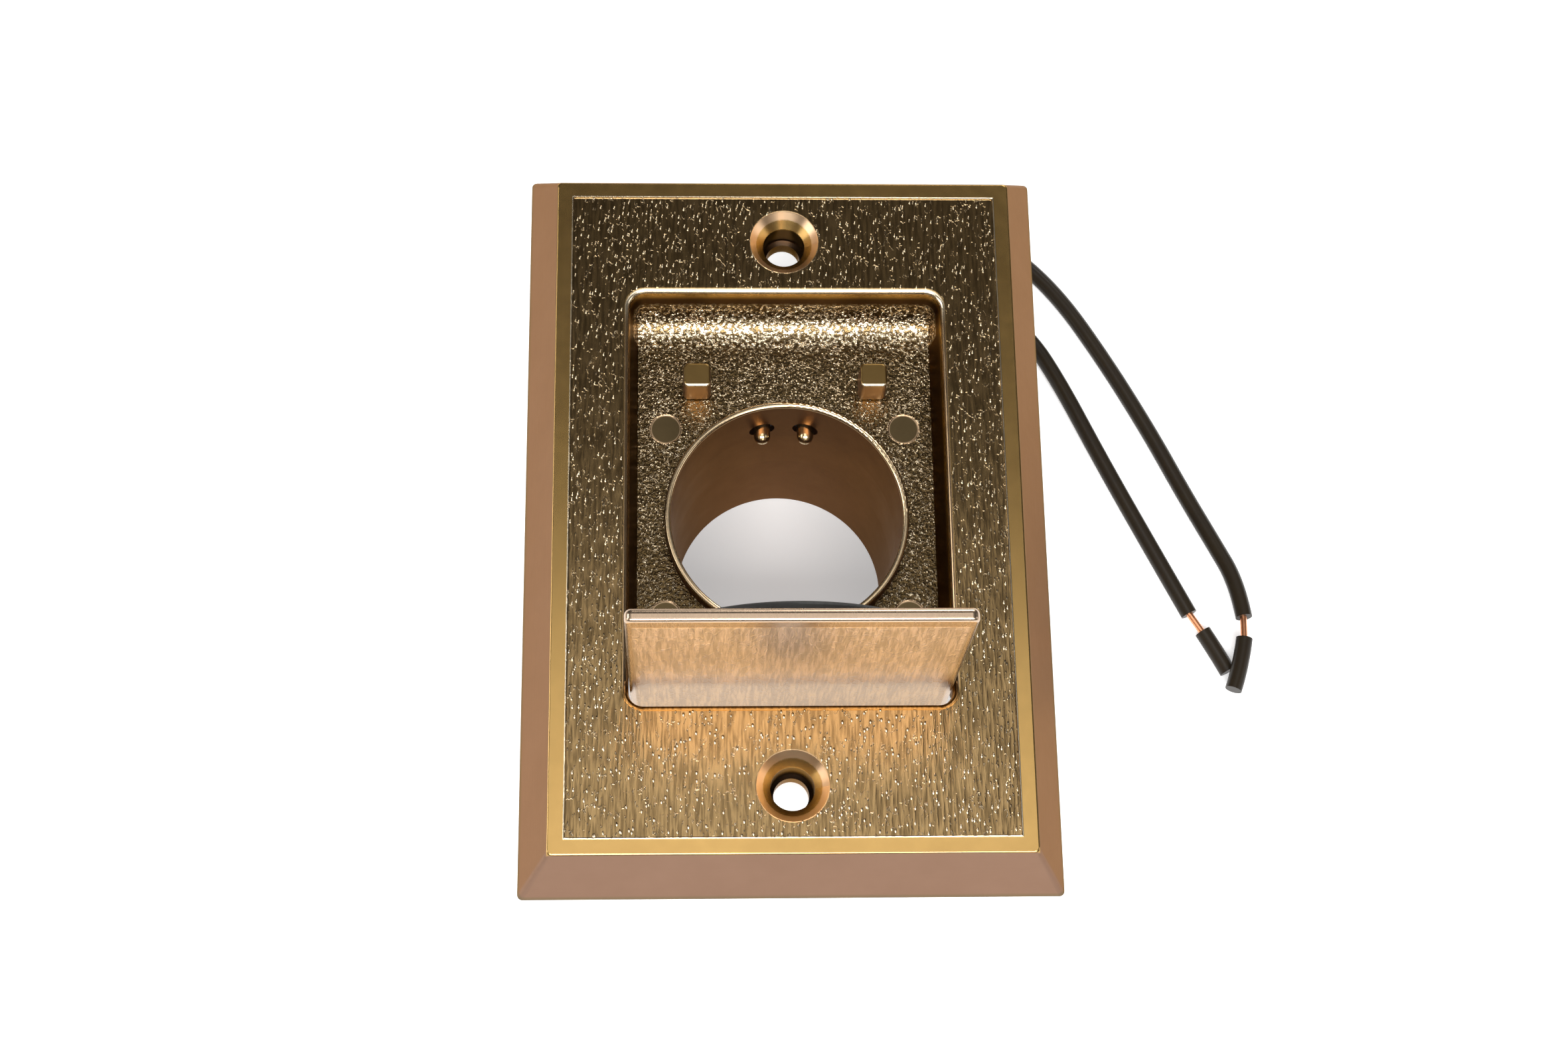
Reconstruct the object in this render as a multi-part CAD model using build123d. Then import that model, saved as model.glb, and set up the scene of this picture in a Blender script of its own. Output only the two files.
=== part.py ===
"""Central-vacuum wall inlet: cast plate, sprung door, hose tube and two contact pins with their leads.

Millimetres. The origin is on the tube's axis in the wall plane, +Z points out of the wall and +Y points
from the door's hinge to its free edge. The object stands on the rear end of its tube.
"""

from build123d import *
from math import cos, pi, radians, sin, tan
import os

# ---- Driving dimensions ----------------------------------------------------------------------
# Plate
PLATE_DEPTH = 10.0          # wall plane to the border's face
FACE_HALF_X = 37.95         # face, inside the sloping sides
FACE_HALF_Y = 57.3
BEVEL = 5.0                 # how far the sloping sides stand out at the wall
BORDER = 2.6                # smooth strip round the panel
PANEL_STEP = 0.3            # the pebbled panel lies this far below the strip
SKIN = 2.4                  # thickness behind the panel
SIDE_WALL = 2.3
SCREW_HALF_SPACING = 46.56
COUNTERSINK_R = 5.7
SCREW_COUNTERBORE_R = 3.5
SCREW_HOLE_R = 2.85
SCREW_SEAT = 2.5            # thickness of metal at the bottom of the screw boss
BOSS_R = 6.0

# Pocket
POCKET_HALF_X = 25.95
POCKET_TOP_Y = 37.35
POCKET_BOTTOM_Y = -33.75
POCKET_CORNER_R = 2.8
POCKET_DRAFT = 9.5          # degrees
POCKET_RIM_R = 0.7
POCKET_WALL = 2.0
FLOOR_TOP = 1.0
FLOOR_UNDER = -1.0
FLOOR_EDGE_Y = -19.0        # the floor ends here and leaves the hinge slot open
SLOT_HALF_X = 26.3
TOP_COVE_R = 4.5
REST_HALF_SPACING = 14.65   # the two door rests
REST_Y = 23.7
REST_FOOT = (4.7, 4.3)
REST_HEAD = (4.4, 4.1)
REST_TOP = 6.9
MARK_R = 2.55               # round ejector marks on the floor
MARK_AT = (19.85, 16.3)
MARK_DEPTH = 0.15

# Tube
BORE_R = 19.05              # at the mouth
HOSE_R = 18.7               # the length that holds the hose end
HOSE_Z = (-20.0, -8.0)
REAR_BORE_R = 18.19
NOSE_R = 20.05
TUBE_R = 21.2
TUBE_MOUTH = 4.04
TUBE_REAR = -38.0
SPIGOT_R = 23.2
SEAL_GAP = 3.5
RIDGE = 2.0
SEAL_Z = -32.75

# Door and hinge; the door is drawn shut, then turned to its rest angle
OPEN_ANGLE = 91.0
HINGE_Y = -21.6
HINGE_Z = -0.4
HINGE_PIN_R = 1.0
HINGE_CLEARANCE = 0.04
DOOR_HALF_X = 25.4
DOOR_TOP_Y = 28.0
DOOR_TAIL_Y = -32.2
DOOR_FACE = 9.2
DOOR_BACK = 7.0
KNUCKLE_R = 2.4
KNUCKLE_X = (21.4, 25.2)
EAR_X = (SLOT_HALF_X, 29.3)
EAR_Y = (-29.6, -15.5)
EAR_BOTTOM = -4.2
GASKET_R = 22.4
GASKET_LIP_R = 17.6
GASKET_FACE = 4.34
GASKET_WEB = 5.4
RETAINER_R = 16.5

# Contacts
CONTACT_HALF_SPACING = 3.65  # the two pins slide side by side along Y
CONTACT_Z = -4.6
CONTACT_PIN_R = 1.4
CONTACT_TIP = 15.8          # Y of the pin's tip
CONTACT_HOLE_R = 2.15
CONTACT_TRAVEL = 2.6
BLOCK_HALF_X = 10.0
BLOCK_BACK_Y = 29.5
BLOCK_BOTTOM = -8.6
CAP_BACK_Y = 31.0

# Leads
LEAD_R = 1.5
CONDUCTOR_R = 0.6
TABLE = TUBE_REAR           # the surface that the object stands on
LEAD_Z = TABLE + LEAD_R + 0.02

PARTS = "parts"


# ---- Small helpers ---------------------------------------------------------------------------
def box(x, y, z):
    """A box given by its lowest and highest X, Y and Z."""
    size = (x[1] - x[0], y[1] - y[0], z[1] - z[0])
    centre = ((x[0] + x[1]) / 2, (y[0] + y[1]) / 2, (z[0] + z[1]) / 2)
    return Pos(*centre) * Box(*size)


def rod(radius, z, at=(0, 0)):
    """A cylinder along Z from z[0] to z[1]."""
    return Pos(at[0], at[1], (z[0] + z[1]) / 2) * Cylinder(radius, z[1] - z[0])


def rod_x(radius, x, y, z):
    """A cylinder along X from x[0] to x[1]."""
    return Pos((x[0] + x[1]) / 2, y, z) * Rot(0, 90, 0) * Cylinder(radius, x[1] - x[0])


def turned(profile):
    """A solid of revolution about Z from (radius, z) points."""
    return revolve(Plane.XZ * make_face(Polyline(*profile, close=True)), Axis.Z)


def sloped_block(half_x, half_y, z, growth):
    """A block that grows by growth on each side from its top, z[1], to its foot, z[0]."""
    top = Plane.XY.offset(z[1]) * Rectangle(2 * half_x, 2 * half_y)
    foot = Plane.XY.offset(z[0]) * Rectangle(2 * (half_x + growth), 2 * (half_y + growth))
    return loft([foot.face(), top.face()])


def mirrored(x, solid):
    """The solid as drawn for the right side, or its mirror image on the left."""
    return solid if x > 0 else mirror(solid, Plane.YZ)


def on_contact(side, y):
    """A point on one contact's line."""
    return (side * CONTACT_HALF_SPACING, y, CONTACT_Z)


def along_contact(side):
    """The place whose Z runs out along one contact, with its X up and its Y to the right."""
    return Plane(origin=on_contact(side, 0), x_dir=(0, 0, 1), z_dir=(0, 1, 0)).location


def opened(solid):
    """Turns a piece drawn with the door shut to the door's rest angle."""
    hinge = Axis((0, HINGE_Y, HINGE_Z), (1, 0, 0))
    return solid.rotate(hinge, OPEN_ANGLE)


# ---- Plate -----------------------------------------------------------------------------------
def pocket_space():
    """The tapered pocket, from just above the face down to its floor."""
    length = POCKET_TOP_Y - POCKET_BOTTOM_Y
    centre_y = (POCKET_TOP_Y + POCKET_BOTTOM_Y) / 2
    panel = PLATE_DEPTH - PANEL_STEP
    mouth = Plane.XY.offset(panel) * Pos(0, centre_y) * RectangleRounded(
        2 * POCKET_HALF_X, length, POCKET_CORNER_R
    )
    space = extrude(mouth, amount=-(panel - FLOOR_TOP), taper=POCKET_DRAFT)
    return space


def top_cove():
    """The hollow fillet that runs from the pocket's floor into its drafted upper wall."""
    draft = radians(POCKET_DRAFT)
    foot_y = POCKET_TOP_Y - (PLATE_DEPTH - PANEL_STEP - FLOOR_TOP) * tan(draft)
    centre_y = foot_y - TOP_COVE_R * (1 - sin(draft)) / cos(draft)
    centre_z = FLOOR_TOP + TOP_COVE_R
    half_x = POCKET_HALF_X
    block = box((-half_x, half_x), (centre_y, foot_y + 2), (FLOOR_TOP, centre_z - TOP_COVE_R * sin(draft)))
    return block - rod_x(TOP_COVE_R, (-half_x - 1, half_x + 1), centre_y, centre_z)


def screw_hole(y):
    """A countersunk hole that narrows where it meets the wall."""
    panel = PLATE_DEPTH - PANEL_STEP
    seat = panel - (COUNTERSINK_R - SCREW_COUNTERBORE_R)
    profile = [
        (0, -1.0), (SCREW_HOLE_R, -1.0), (SCREW_HOLE_R, SCREW_SEAT), (SCREW_COUNTERBORE_R, SCREW_SEAT + 0.6),
        (SCREW_COUNTERBORE_R, seat), (COUNTERSINK_R, panel), (COUNTERSINK_R, panel + 1.0), (0, panel + 1.0),
    ]
    return Pos(0, y, 0) * turned(profile)


def cover_plate():
    """The casting: shell, pocket, door rests, screw bosses and hinge ears."""
    panel = PLATE_DEPTH - PANEL_STEP
    under = panel - SKIN
    slope = BEVEL / PLATE_DEPTH
    shell = sloped_block(FACE_HALF_X, FACE_HALF_Y, (0, PLATE_DEPTH), BEVEL)
    corners = [e for e in shell.edges() if abs(e.tangent_at(0.5).Z) > 0.5]
    shell = fillet(corners, 1.0)
    shell = fillet(shell.faces().sort_by(Axis.Z)[-1].edges(), 0.35)
    inner_x = FACE_HALF_X + slope * (PLATE_DEPTH - under) - SIDE_WALL
    inner_y = FACE_HALF_Y + slope * (PLATE_DEPTH - under) - SIDE_WALL
    shell -= sloped_block(inner_x, inner_y, (-0.01, under), slope * under)
    step = box(
        (BORDER - FACE_HALF_X, FACE_HALF_X - BORDER), (BORDER - FACE_HALF_Y, FACE_HALF_Y - BORDER),
        (panel, PLATE_DEPTH + 1),
    )
    shell -= fillet(step.edges().filter_by(Axis.Z), 0.6)

    wall_x = POCKET_HALF_X + POCKET_WALL
    tray = box((-wall_x, wall_x), (FLOOR_EDGE_Y, POCKET_TOP_Y + POCKET_WALL), (FLOOR_UNDER, under + 0.5))
    tray = fillet(tray.edges().filter_by(Axis.Z).group_by(Axis.Y)[-1], POCKET_CORNER_R + POCKET_WALL)
    ears = Part()
    for side in (-1, 1):
        ear = box(EAR_X, EAR_Y, (EAR_BOTTOM, under + 0.5))
        ear = fillet(ear.edges().filter_by(Axis.X).group_by(Axis.Z)[0], 3.5)
        ears += mirrored(side, ear)
    bosses = rod(BOSS_R, (0, under + 0.5), (0, SCREW_HALF_SPACING))
    bosses += rod(BOSS_R, (0, under + 0.5), (0, -SCREW_HALF_SPACING))
    body = shell + tray + bosses + ears

    space = pocket_space()
    cove = top_cove() & (space + box((-40, 40), (0, 40), (FLOOR_TOP - 0.5, FLOOR_TOP)))
    body -= space
    body += cove
    body -= box((-SLOT_HALF_X, SLOT_HALF_X), (POCKET_BOTTOM_Y - 0.7, FLOOR_EDGE_Y), (EAR_BOTTOM - 1, under + 0.3))
    body -= Pos(0, POCKET_BOTTOM_Y, under) * Rot(45, 0, 0) * Box(2 * POCKET_HALF_X - 4, 3.0, 3.0)
    rim = [
        e for e in body.edges()
        if abs(e.center().Z - panel) < 0.01 and abs(e.center().X) < POCKET_HALF_X + 0.1
        and POCKET_BOTTOM_Y - 0.1 < e.center().Y < POCKET_TOP_Y + 0.1
    ]
    body = fillet(rim, POCKET_RIM_R)

    for side in (-1, 1):
        at = Pos(side * REST_HALF_SPACING, REST_Y)
        foot = Plane.XY.offset(FLOOR_TOP) * at * RectangleRounded(*REST_FOOT, 0.9)
        head = Plane.XY.offset(REST_TOP) * at * RectangleRounded(*REST_HEAD, 0.8)
        rest = loft([foot.face(), head.face()])
        rest = fillet(rest.faces().sort_by(Axis.Z)[-1].edges(), 0.35)
        body += rest
    for side in (-1, 1):
        body -= rod(1.05, (FLOOR_UNDER - 1, 5.0), (side * REST_HALF_SPACING, REST_Y))
        for end in (-1, 1):
            at = (side * MARK_AT[0], end * MARK_AT[1])
            body -= rod(MARK_R, (FLOOR_TOP - MARK_DEPTH, FLOOR_TOP + 1), at)
        body -= screw_hole(side * SCREW_HALF_SPACING)
    body -= rod(NOSE_R + 0.02, (FLOOR_UNDER - 1, FLOOR_TOP + 1))
    body -= rod_x(HINGE_PIN_R, (-40, 40), HINGE_Y, HINGE_Z)
    return body


# ---- Tube and its seal -----------------------------------------------------------------------
def inlet_tube():
    """The hose tube: bore, rolled mouth, seat under the floor and spigot ridges at the rear."""
    ridge = SEAL_GAP / 2 + RIDGE
    profile = [
        (BORE_R, TUBE_MOUTH), (HOSE_R, HOSE_Z[1]), (HOSE_R, HOSE_Z[0]),
        (REAR_BORE_R, TUBE_REAR),
        (TUBE_R - 0.8, TUBE_REAR), (TUBE_R, TUBE_REAR + 0.8),
        (TUBE_R, SEAL_Z - ridge - 0.6), (SPIGOT_R, SEAL_Z - ridge), (SPIGOT_R, SEAL_Z - SEAL_GAP / 2),
        (SPIGOT_R - 2.95, SEAL_Z - SEAL_GAP / 2), (SPIGOT_R - 2.95, SEAL_Z + SEAL_GAP / 2),
        (SPIGOT_R, SEAL_Z + SEAL_GAP / 2), (SPIGOT_R, SEAL_Z + ridge), (TUBE_R, SEAL_Z + ridge + 0.6),
        (TUBE_R, FLOOR_UNDER), (NOSE_R, FLOOR_UNDER), (NOSE_R, TUBE_MOUTH),
    ]
    tube = turned(profile)
    tube = fillet(tube.faces().sort_by(Axis.Z)[-1].edges(), 0.42)
    flat_y = HINGE_Y + HINGE_PIN_R + 0.3
    tube -= box((-12, 12), (flat_y - 3, flat_y), (HINGE_Z - HINGE_PIN_R - 0.7, FLOOR_UNDER))
    for side in (-1, 1):
        hole = along_contact(side) * Pos(0, 0, TUBE_R) * Cylinder(CONTACT_HOLE_R, 8)
        tube -= hole
    return tube


def spigot_seal():
    """The ring in the spigot's groove, drawn at its fitted size."""
    return Pos(0, 0, SEAL_Z) * Torus(SPIGOT_R - 1.47, 1.45)


# ---- Door ------------------------------------------------------------------------------------
def door():
    """The leaf with rounded edges, the gasket boss and two hinge knuckles."""
    leaf = box((-DOOR_HALF_X, DOOR_HALF_X), (DOOR_TAIL_Y, DOOR_TOP_Y), (DOOR_BACK, DOOR_FACE))
    leaf = fillet(leaf.edges().filter_by(Axis.Z).group_by(Axis.Y)[-1], 1.1)
    leaf = fillet(leaf.edges().filter_by(Axis.Z).group_by(Axis.Y)[0], 3.6)
    flat = leaf.faces().sort_by(Axis.Z)
    leaf = fillet(flat[0].edges(), 1.0)
    leaf = fillet(leaf.faces().sort_by(Axis.Z)[-1].edges(), 0.6)
    leaf += rod(3.4, (GASKET_WEB, DOOR_BACK + 0.2))
    for side in (-1, 1):
        barrel = rod_x(KNUCKLE_R, KNUCKLE_X, HINGE_Y, HINGE_Z)
        web = box(KNUCKLE_X, (HINGE_Y - KNUCKLE_R, HINGE_Y + KNUCKLE_R), (HINGE_Z, DOOR_BACK + 0.2))
        leaf += mirrored(side, barrel + web)
    leaf -= rod_x(HINGE_PIN_R + HINGE_CLEARANCE, (-40, 40), HINGE_Y, HINGE_Z)
    leaf -= rod(1.25, (GASKET_WEB - 1, DOOR_FACE - 0.8))
    return opened(leaf)


def door_gasket():
    """A rubber disc with a raised, rounded sealing lip."""
    profile = [
        (3.42, DOOR_BACK), (GASKET_R, DOOR_BACK), (GASKET_R, GASKET_FACE), (GASKET_LIP_R, GASKET_FACE),
        (GASKET_LIP_R - 0.5, GASKET_WEB), (3.42, GASKET_WEB),
    ]
    disc = turned(profile)
    lip = [e for e in disc.edges() if abs(e.center().Z - GASKET_FACE) < 0.01]
    return opened(fillet(lip, 0.6))


def gasket_retainer():
    """The pressed disc that clamps the gasket to the door."""
    z = (GASKET_WEB - 0.8, GASKET_WEB)
    disc = rod(RETAINER_R, z)
    disc = fillet(disc.edges().sort_by(Axis.Z)[0], 0.5)
    disc -= rod(1.6, (z[0] - 1, z[1] + 1))
    return opened(disc)


def gasket_screw():
    """The pan-head screw through the retainer."""
    head_top = GASKET_WEB - 0.8
    head = rod(2.9, (head_top - 1.6, head_top))
    head = fillet(head.edges().sort_by(Axis.Z)[0], 0.9)
    screw = head + rod(1.2, (head_top, DOOR_FACE - 1.1))
    slot_z = (head_top - 2.0, head_top - 0.8)
    screw -= box((-1.9, 1.9), (-0.3, 0.3), slot_z) + box((-0.3, 0.3), (-1.9, 1.9), slot_z)
    return opened(screw)


def hinge_pin():
    """The axle, pressed in the ears, with a groove near each end."""
    half = EAR_X[1] + 1.2
    pin = rod_x(HINGE_PIN_R, (-half, half), HINGE_Y, HINGE_Z)
    pin = chamfer(pin.edges(), 0.25)
    for side in (-1, 1):
        groove = (EAR_X[1] + 0.1, EAR_X[1] + 0.7)
        ring = rod_x(HINGE_PIN_R + 1, groove, HINGE_Y, HINGE_Z) - rod_x(0.7, groove, HINGE_Y, HINGE_Z)
        pin -= mirrored(side, ring)
    return pin


def pin_clips():
    """Two open rings in the pin's grooves."""
    clips = []
    for side in (-1, 1):
        x = (EAR_X[1] + 0.15, EAR_X[1] + 0.65)
        clip = rod_x(2.2, x, HINGE_Y, HINGE_Z) - rod_x(0.72, (x[0] - 1, x[1] + 1), HINGE_Y, HINGE_Z)
        clip -= box((x[0] - 1, x[1] + 1), (HINGE_Y - 3, HINGE_Y), (HINGE_Z - 0.55, HINGE_Z + 0.55))
        clips.append(mirrored(side, clip))
    return Compound(clips)


SPRING_WIRE_R = 0.35
SPRING_R = HINGE_PIN_R + 0.2 + SPRING_WIRE_R
SPRING_X = (12.0, 18.6)
SPRING_TURNS = 6


def round_bar(points, radius):
    """Straight round bars from point to point, with a slightly larger ball at every end."""
    ball = radius + 0.02
    bar = Pos(*points[0]) * Sphere(ball)
    for start, end in zip(points, points[1:]):
        line = Line(start, end)
        bar += sweep(Plane(origin=start, z_dir=line % 0) * Circle(radius), path=line)
        bar += Pos(*end) * Sphere(ball)
    return bar


def door_spring():
    """A torsion spring on the pin: its outer leg bears under the floor, its inner leg on the door's tail."""
    length = SPRING_X[1] - SPRING_X[0]
    helix = Helix(pitch=length / SPRING_TURNS, height=length, radius=SPRING_R)
    outer_end = Plane(origin=(SPRING_X[1], HINGE_Y, HINGE_Z), x_dir=(0, 0, -1), z_dir=(-1, 0, 0))
    wound = outer_end.location * helix
    coil = sweep(Plane(origin=wound @ 0, z_dir=wound % 0) * Circle(SPRING_WIRE_R), path=wound, is_frenet=True)
    low = HINGE_Z - SPRING_R
    under_floor = FLOOR_UNDER - SPRING_WIRE_R - 0.12
    fixed_leg = [(SPRING_X[1], HINGE_Y, low), (SPRING_X[1], HINGE_Y + 2.5, low), (SPRING_X[1], -13.6, under_floor)]
    tail_y = HINGE_Y - (DOOR_BACK - HINGE_Z) + SPRING_WIRE_R + 0.1
    door_leg = [(SPRING_X[0], HINGE_Y, low), (SPRING_X[0], tail_y, low), (SPRING_X[0], tail_y + 0.12, low - 6.3)]
    return coil + round_bar(fixed_leg, SPRING_WIRE_R) + round_bar(door_leg, SPRING_WIRE_R)


# ---- Contacts --------------------------------------------------------------------------------
SHOULDER = 21.9             # where the pin's collar rests on its sleeve
COLLAR = 1.0
SPRING_END = 28.3           # the terminal's disc begins here
CRIMP_END = 36.8


def contact_pin(side):
    """A dome-tipped plunger with a collar and a guide for its spring."""
    dome = CONTACT_TIP + CONTACT_PIN_R
    pin = Pos(0, 0, dome) * Sphere(CONTACT_PIN_R) + rod(CONTACT_PIN_R, (dome, SHOULDER))
    tail_end = SPRING_END - CONTACT_TRAVEL - 0.3
    pin += rod(1.95, (SHOULDER, SHOULDER + COLLAR)) + rod(0.8, (SHOULDER + COLLAR, tail_end))
    return along_contact(side) * pin


def contact_sleeve(side):
    """The insulating sleeve round the pin where it passes the metal wall."""
    sleeve = rod(CONTACT_HOLE_R - 0.04, (19.6, SHOULDER - 0.02))
    sleeve -= rod(CONTACT_PIN_R + 0.05, (19, SHOULDER + 1))
    return along_contact(side) * sleeve


def contact_spring(side):
    """The compression spring between the pin's collar and the terminal."""
    wire = 0.2
    length = SPRING_END - SHOULDER - COLLAR - 2 * wire - 0.04
    coil = Helix(pitch=length / 5, height=length, radius=1.4)
    solid = sweep(Plane(origin=coil @ 0, z_dir=coil % 0) * Circle(wire), path=coil, is_frenet=True)
    return along_contact(side) * Pos(0, 0, SHOULDER + COLLAR + wire + 0.02) * solid


def terminal(side):
    """A brass disc that closes the spring's bore, with a tail crimped round the lead."""
    piece = rod(2.05, (SPRING_END, SPRING_END + 0.9))
    piece += box((-0.4, 0.4), (-1.2, 1.2), (SPRING_END, 33.2))
    crimp = rod(1.95, (32.6, CRIMP_END)) - rod(LEAD_R + 0.02, (LEAD_START, CRIMP_END + 1))
    return along_contact(side) * (piece + crimp)


def contact_block():
    """The insulating housing that straddles the tube under the pocket's floor."""
    top = FLOOR_UNDER - 0.05
    block = box((-BLOCK_HALF_X, BLOCK_HALF_X), (14.0, BLOCK_BACK_Y), (BLOCK_BOTTOM, top))
    block = fillet(block.edges().filter_by(Axis.Y), 0.8)
    for side in (-1, 1):
        ear = box((BLOCK_HALF_X - 1, 18.2), (REST_Y - 3.4, REST_Y + 3.4), (top - 2.4, top))
        ear = fillet(ear.edges().filter_by(Axis.Z).group_by(Axis.X)[-1], 2.5)
        block += mirrored(side, ear)
    block -= rod(TUBE_R + 0.05, (BLOCK_BOTTOM - 1, 0))
    for side in (-1, 1):
        block -= along_contact(side) * rod(CONTACT_HOLE_R, (15, 40))
        block -= rod(1.35, (top - 5, top + 1), (side * REST_HALF_SPACING, REST_Y))
    block -= Pos(0, BLOCK_BACK_Y, CONTACT_Z) * Rot(90, 0, 0) * Cylinder(1.0, 8)
    return block


def contact_cover():
    """The plate that keeps the terminals in the block."""
    top = FLOOR_UNDER - 0.4
    cover = box((-BLOCK_HALF_X, BLOCK_HALF_X), (BLOCK_BACK_Y, CAP_BACK_Y), (BLOCK_BOTTOM, top))
    cover = fillet(cover.edges().filter_by(Axis.Y), 0.8)
    for side in (-1, 1):
        cover -= along_contact(side) * box((-0.55, 0.55), (-1.35, 1.35), (25, 36))
    cover -= Pos(0, BLOCK_BACK_Y, CONTACT_Z) * Rot(90, 0, 0) * Cylinder(1.1, 8)
    return cover


def cover_screw():
    """The small screw between the terminals that holds the cover on."""
    head = rod(1.9, (0, 1.2))
    head = fillet(head.edges().sort_by(Axis.Z)[-1], 0.5)
    head -= box((-2, 2), (-0.25, 0.25), (0.6, 2))
    screw = head + rod(0.98, (-5.0, 0))
    return Pos(0, CAP_BACK_Y, CONTACT_Z) * Rot(-90, 0, 0) * screw


def block_screws():
    """Two screws from behind into the door rests' roots."""
    screws = []
    for side in (-1, 1):
        head = rod(2.3, (0, 1.5))
        head = fillet(head.edges().sort_by(Axis.Z)[-1], 0.7)
        head -= box((-3, 3), (-0.3, 0.3), (0.8, 3))
        screw = head + rod(1.02, (-7.0, 0))
        at = Pos(side * REST_HALF_SPACING, REST_Y, FLOOR_UNDER - 0.05 - 2.4) * Rot(180, 0, 0)
        screws.append(at * screw)
    return Compound(screws)


# ---- Leads -----------------------------------------------------------------------------------
LEAD_START = 33.4            # Y of each lead's end inside its crimp
LEAD_STRAIGHT = 42.0        # and of its first turn


UPPER_ROUTE = [
    on_contact(-1, LEAD_START), on_contact(-1, LEAD_STRAIGHT), (-4.8, 52.4, -10.0), (-1.6, 61.5, -22.0),
    (6.2, 68.8, -33.4), (18.0, 73.6, LEAD_Z), (32.0, 74.0, LEAD_Z), (44.0, 67.6, LEAD_Z),
    (53.2, 58.4, LEAD_Z), (61.6, 44.4, LEAD_Z), (68.9, 30.4, LEAD_Z), (74.4, 18.4, -36.4),
    (78.7, 9.2, -35.7), (82.5, 0.7, -34.7), (83.1, -5.9, -34.1),
]
LOWER_ROUTE = [
    on_contact(1, LEAD_START), on_contact(1, LEAD_STRAIGHT), (6.9, 51.4, -10.4), (15.2, 57.2, -22.4),
    (27.0, 59.9, -34.0), (39.6, 56.6, LEAD_Z), (47.6, 49.6, LEAD_Z), (52.9, 40.0, LEAD_Z),
    (59.4, 25.4, LEAD_Z), (66.6, 10.2, LEAD_Z), (73.8, -4.6, LEAD_Z),
]
UPPER_BARE = [(83.1, -5.9, -34.1), (82.8, -9.9, -33.85)]
LOWER_BARE = [(73.8, -4.6, LEAD_Z), (76.0, -7.8, LEAD_Z)]
UPPER_SLUG = [(82.8, -9.9, -33.85), (81.7, -14.7, -33.75), (80.1, -19.4, -33.7)]
LOWER_SLUG = [(76.0, -7.8, LEAD_Z), (80.0, -15.3, LEAD_Z)]


def corner_radii(route):
    """The largest arc that each corner's two runs allow."""
    radii = []
    for before, here, after in zip(route, route[1:], route[2:]):
        run_in = Vector(*here) - Vector(*before)
        run_out = Vector(*after) - Vector(*here)
        half_turn = radians(run_in.get_angle(run_out)) / 2
        radii.append(0.45 * min(run_in.length, run_out.length) / tan(half_turn))
    return radii


def tube_along(route, radius, name):
    """A round tube along straight runs joined by tangent arcs."""
    radii = corner_radii(route)
    if radii:
        path = FilletPolyline(*route, radius=radii)
        print(name, "length %.1f" % path.length, "radii", [round(r, 1) for r in radii])
    else:
        path = Line(*route)
    tube = sweep(Plane(origin=path @ 0, z_dir=path % 0) * Circle(radius), path=path)
    ideal = pi * radius**2 * path.length
    print(name, "volume %.1f, section times length %.1f" % (tube.volume, ideal))
    return tube


# ---- Every piece, by name --------------------------------------------------------------------
def pieces():
    """Node name to solid."""
    made = {
        "cover_plate": cover_plate(),
        "inlet_tube": inlet_tube(),
        "spigot_seal": spigot_seal(),
        "door": door(),
        "door_gasket": door_gasket(),
        "gasket_retainer": gasket_retainer(),
        "gasket_screw": gasket_screw(),
        "hinge_pin": hinge_pin(),
        "pin_clips": pin_clips(),
        "contact_block": contact_block(),
        "contact_cover": contact_cover(),
        "cover_screw": cover_screw(),
        "block_screws": block_screws(),
        "wire_upper": tube_along(UPPER_ROUTE, LEAD_R, "wire_upper"),
        "wire_lower": tube_along(LOWER_ROUTE, LEAD_R, "wire_lower"),
        "wire_upper_copper": tube_along(UPPER_BARE, CONDUCTOR_R, "wire_upper_copper"),
        "wire_lower_copper": tube_along(LOWER_BARE, CONDUCTOR_R, "wire_lower_copper"),
        "wire_upper_slug": tube_along(UPPER_SLUG, LEAD_R, "wire_upper_slug"),
        "wire_lower_slug": tube_along(LOWER_SLUG, LEAD_R, "wire_lower_slug"),
    }
    for word in ("upper", "lower"):
        made["wire_" + word + "_copper"] -= made["wire_" + word] + made["wire_" + word + "_slug"]
    for side, word in ((-1, "left"), (1, "right")):
        made["contact_pin_" + word] = contact_pin(side)
        made["contact_sleeve_" + word] = contact_sleeve(side)
        made["contact_spring_" + word] = contact_spring(side)
        made["terminal_" + word] = terminal(side)
        made["door_spring_" + word] = mirrored(side, door_spring())
    return made


if __name__ == "__main__":
    os.makedirs(PARTS, exist_ok=True)
    for node, solid in pieces().items():
        export_step(solid, os.path.join(PARTS, node + ".step"))
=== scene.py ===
"""Looks of the central-vacuum wall inlet: camera, leads, springs, materials, floor and light.

Metres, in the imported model's frame: the origin is on the bore's axis in the wall plane, +Z points out
of the wall and +Y from the door's hinge to its free edge.
"""

import math
from types import SimpleNamespace

import bpy
from mathutils import Matrix, Vector


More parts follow.
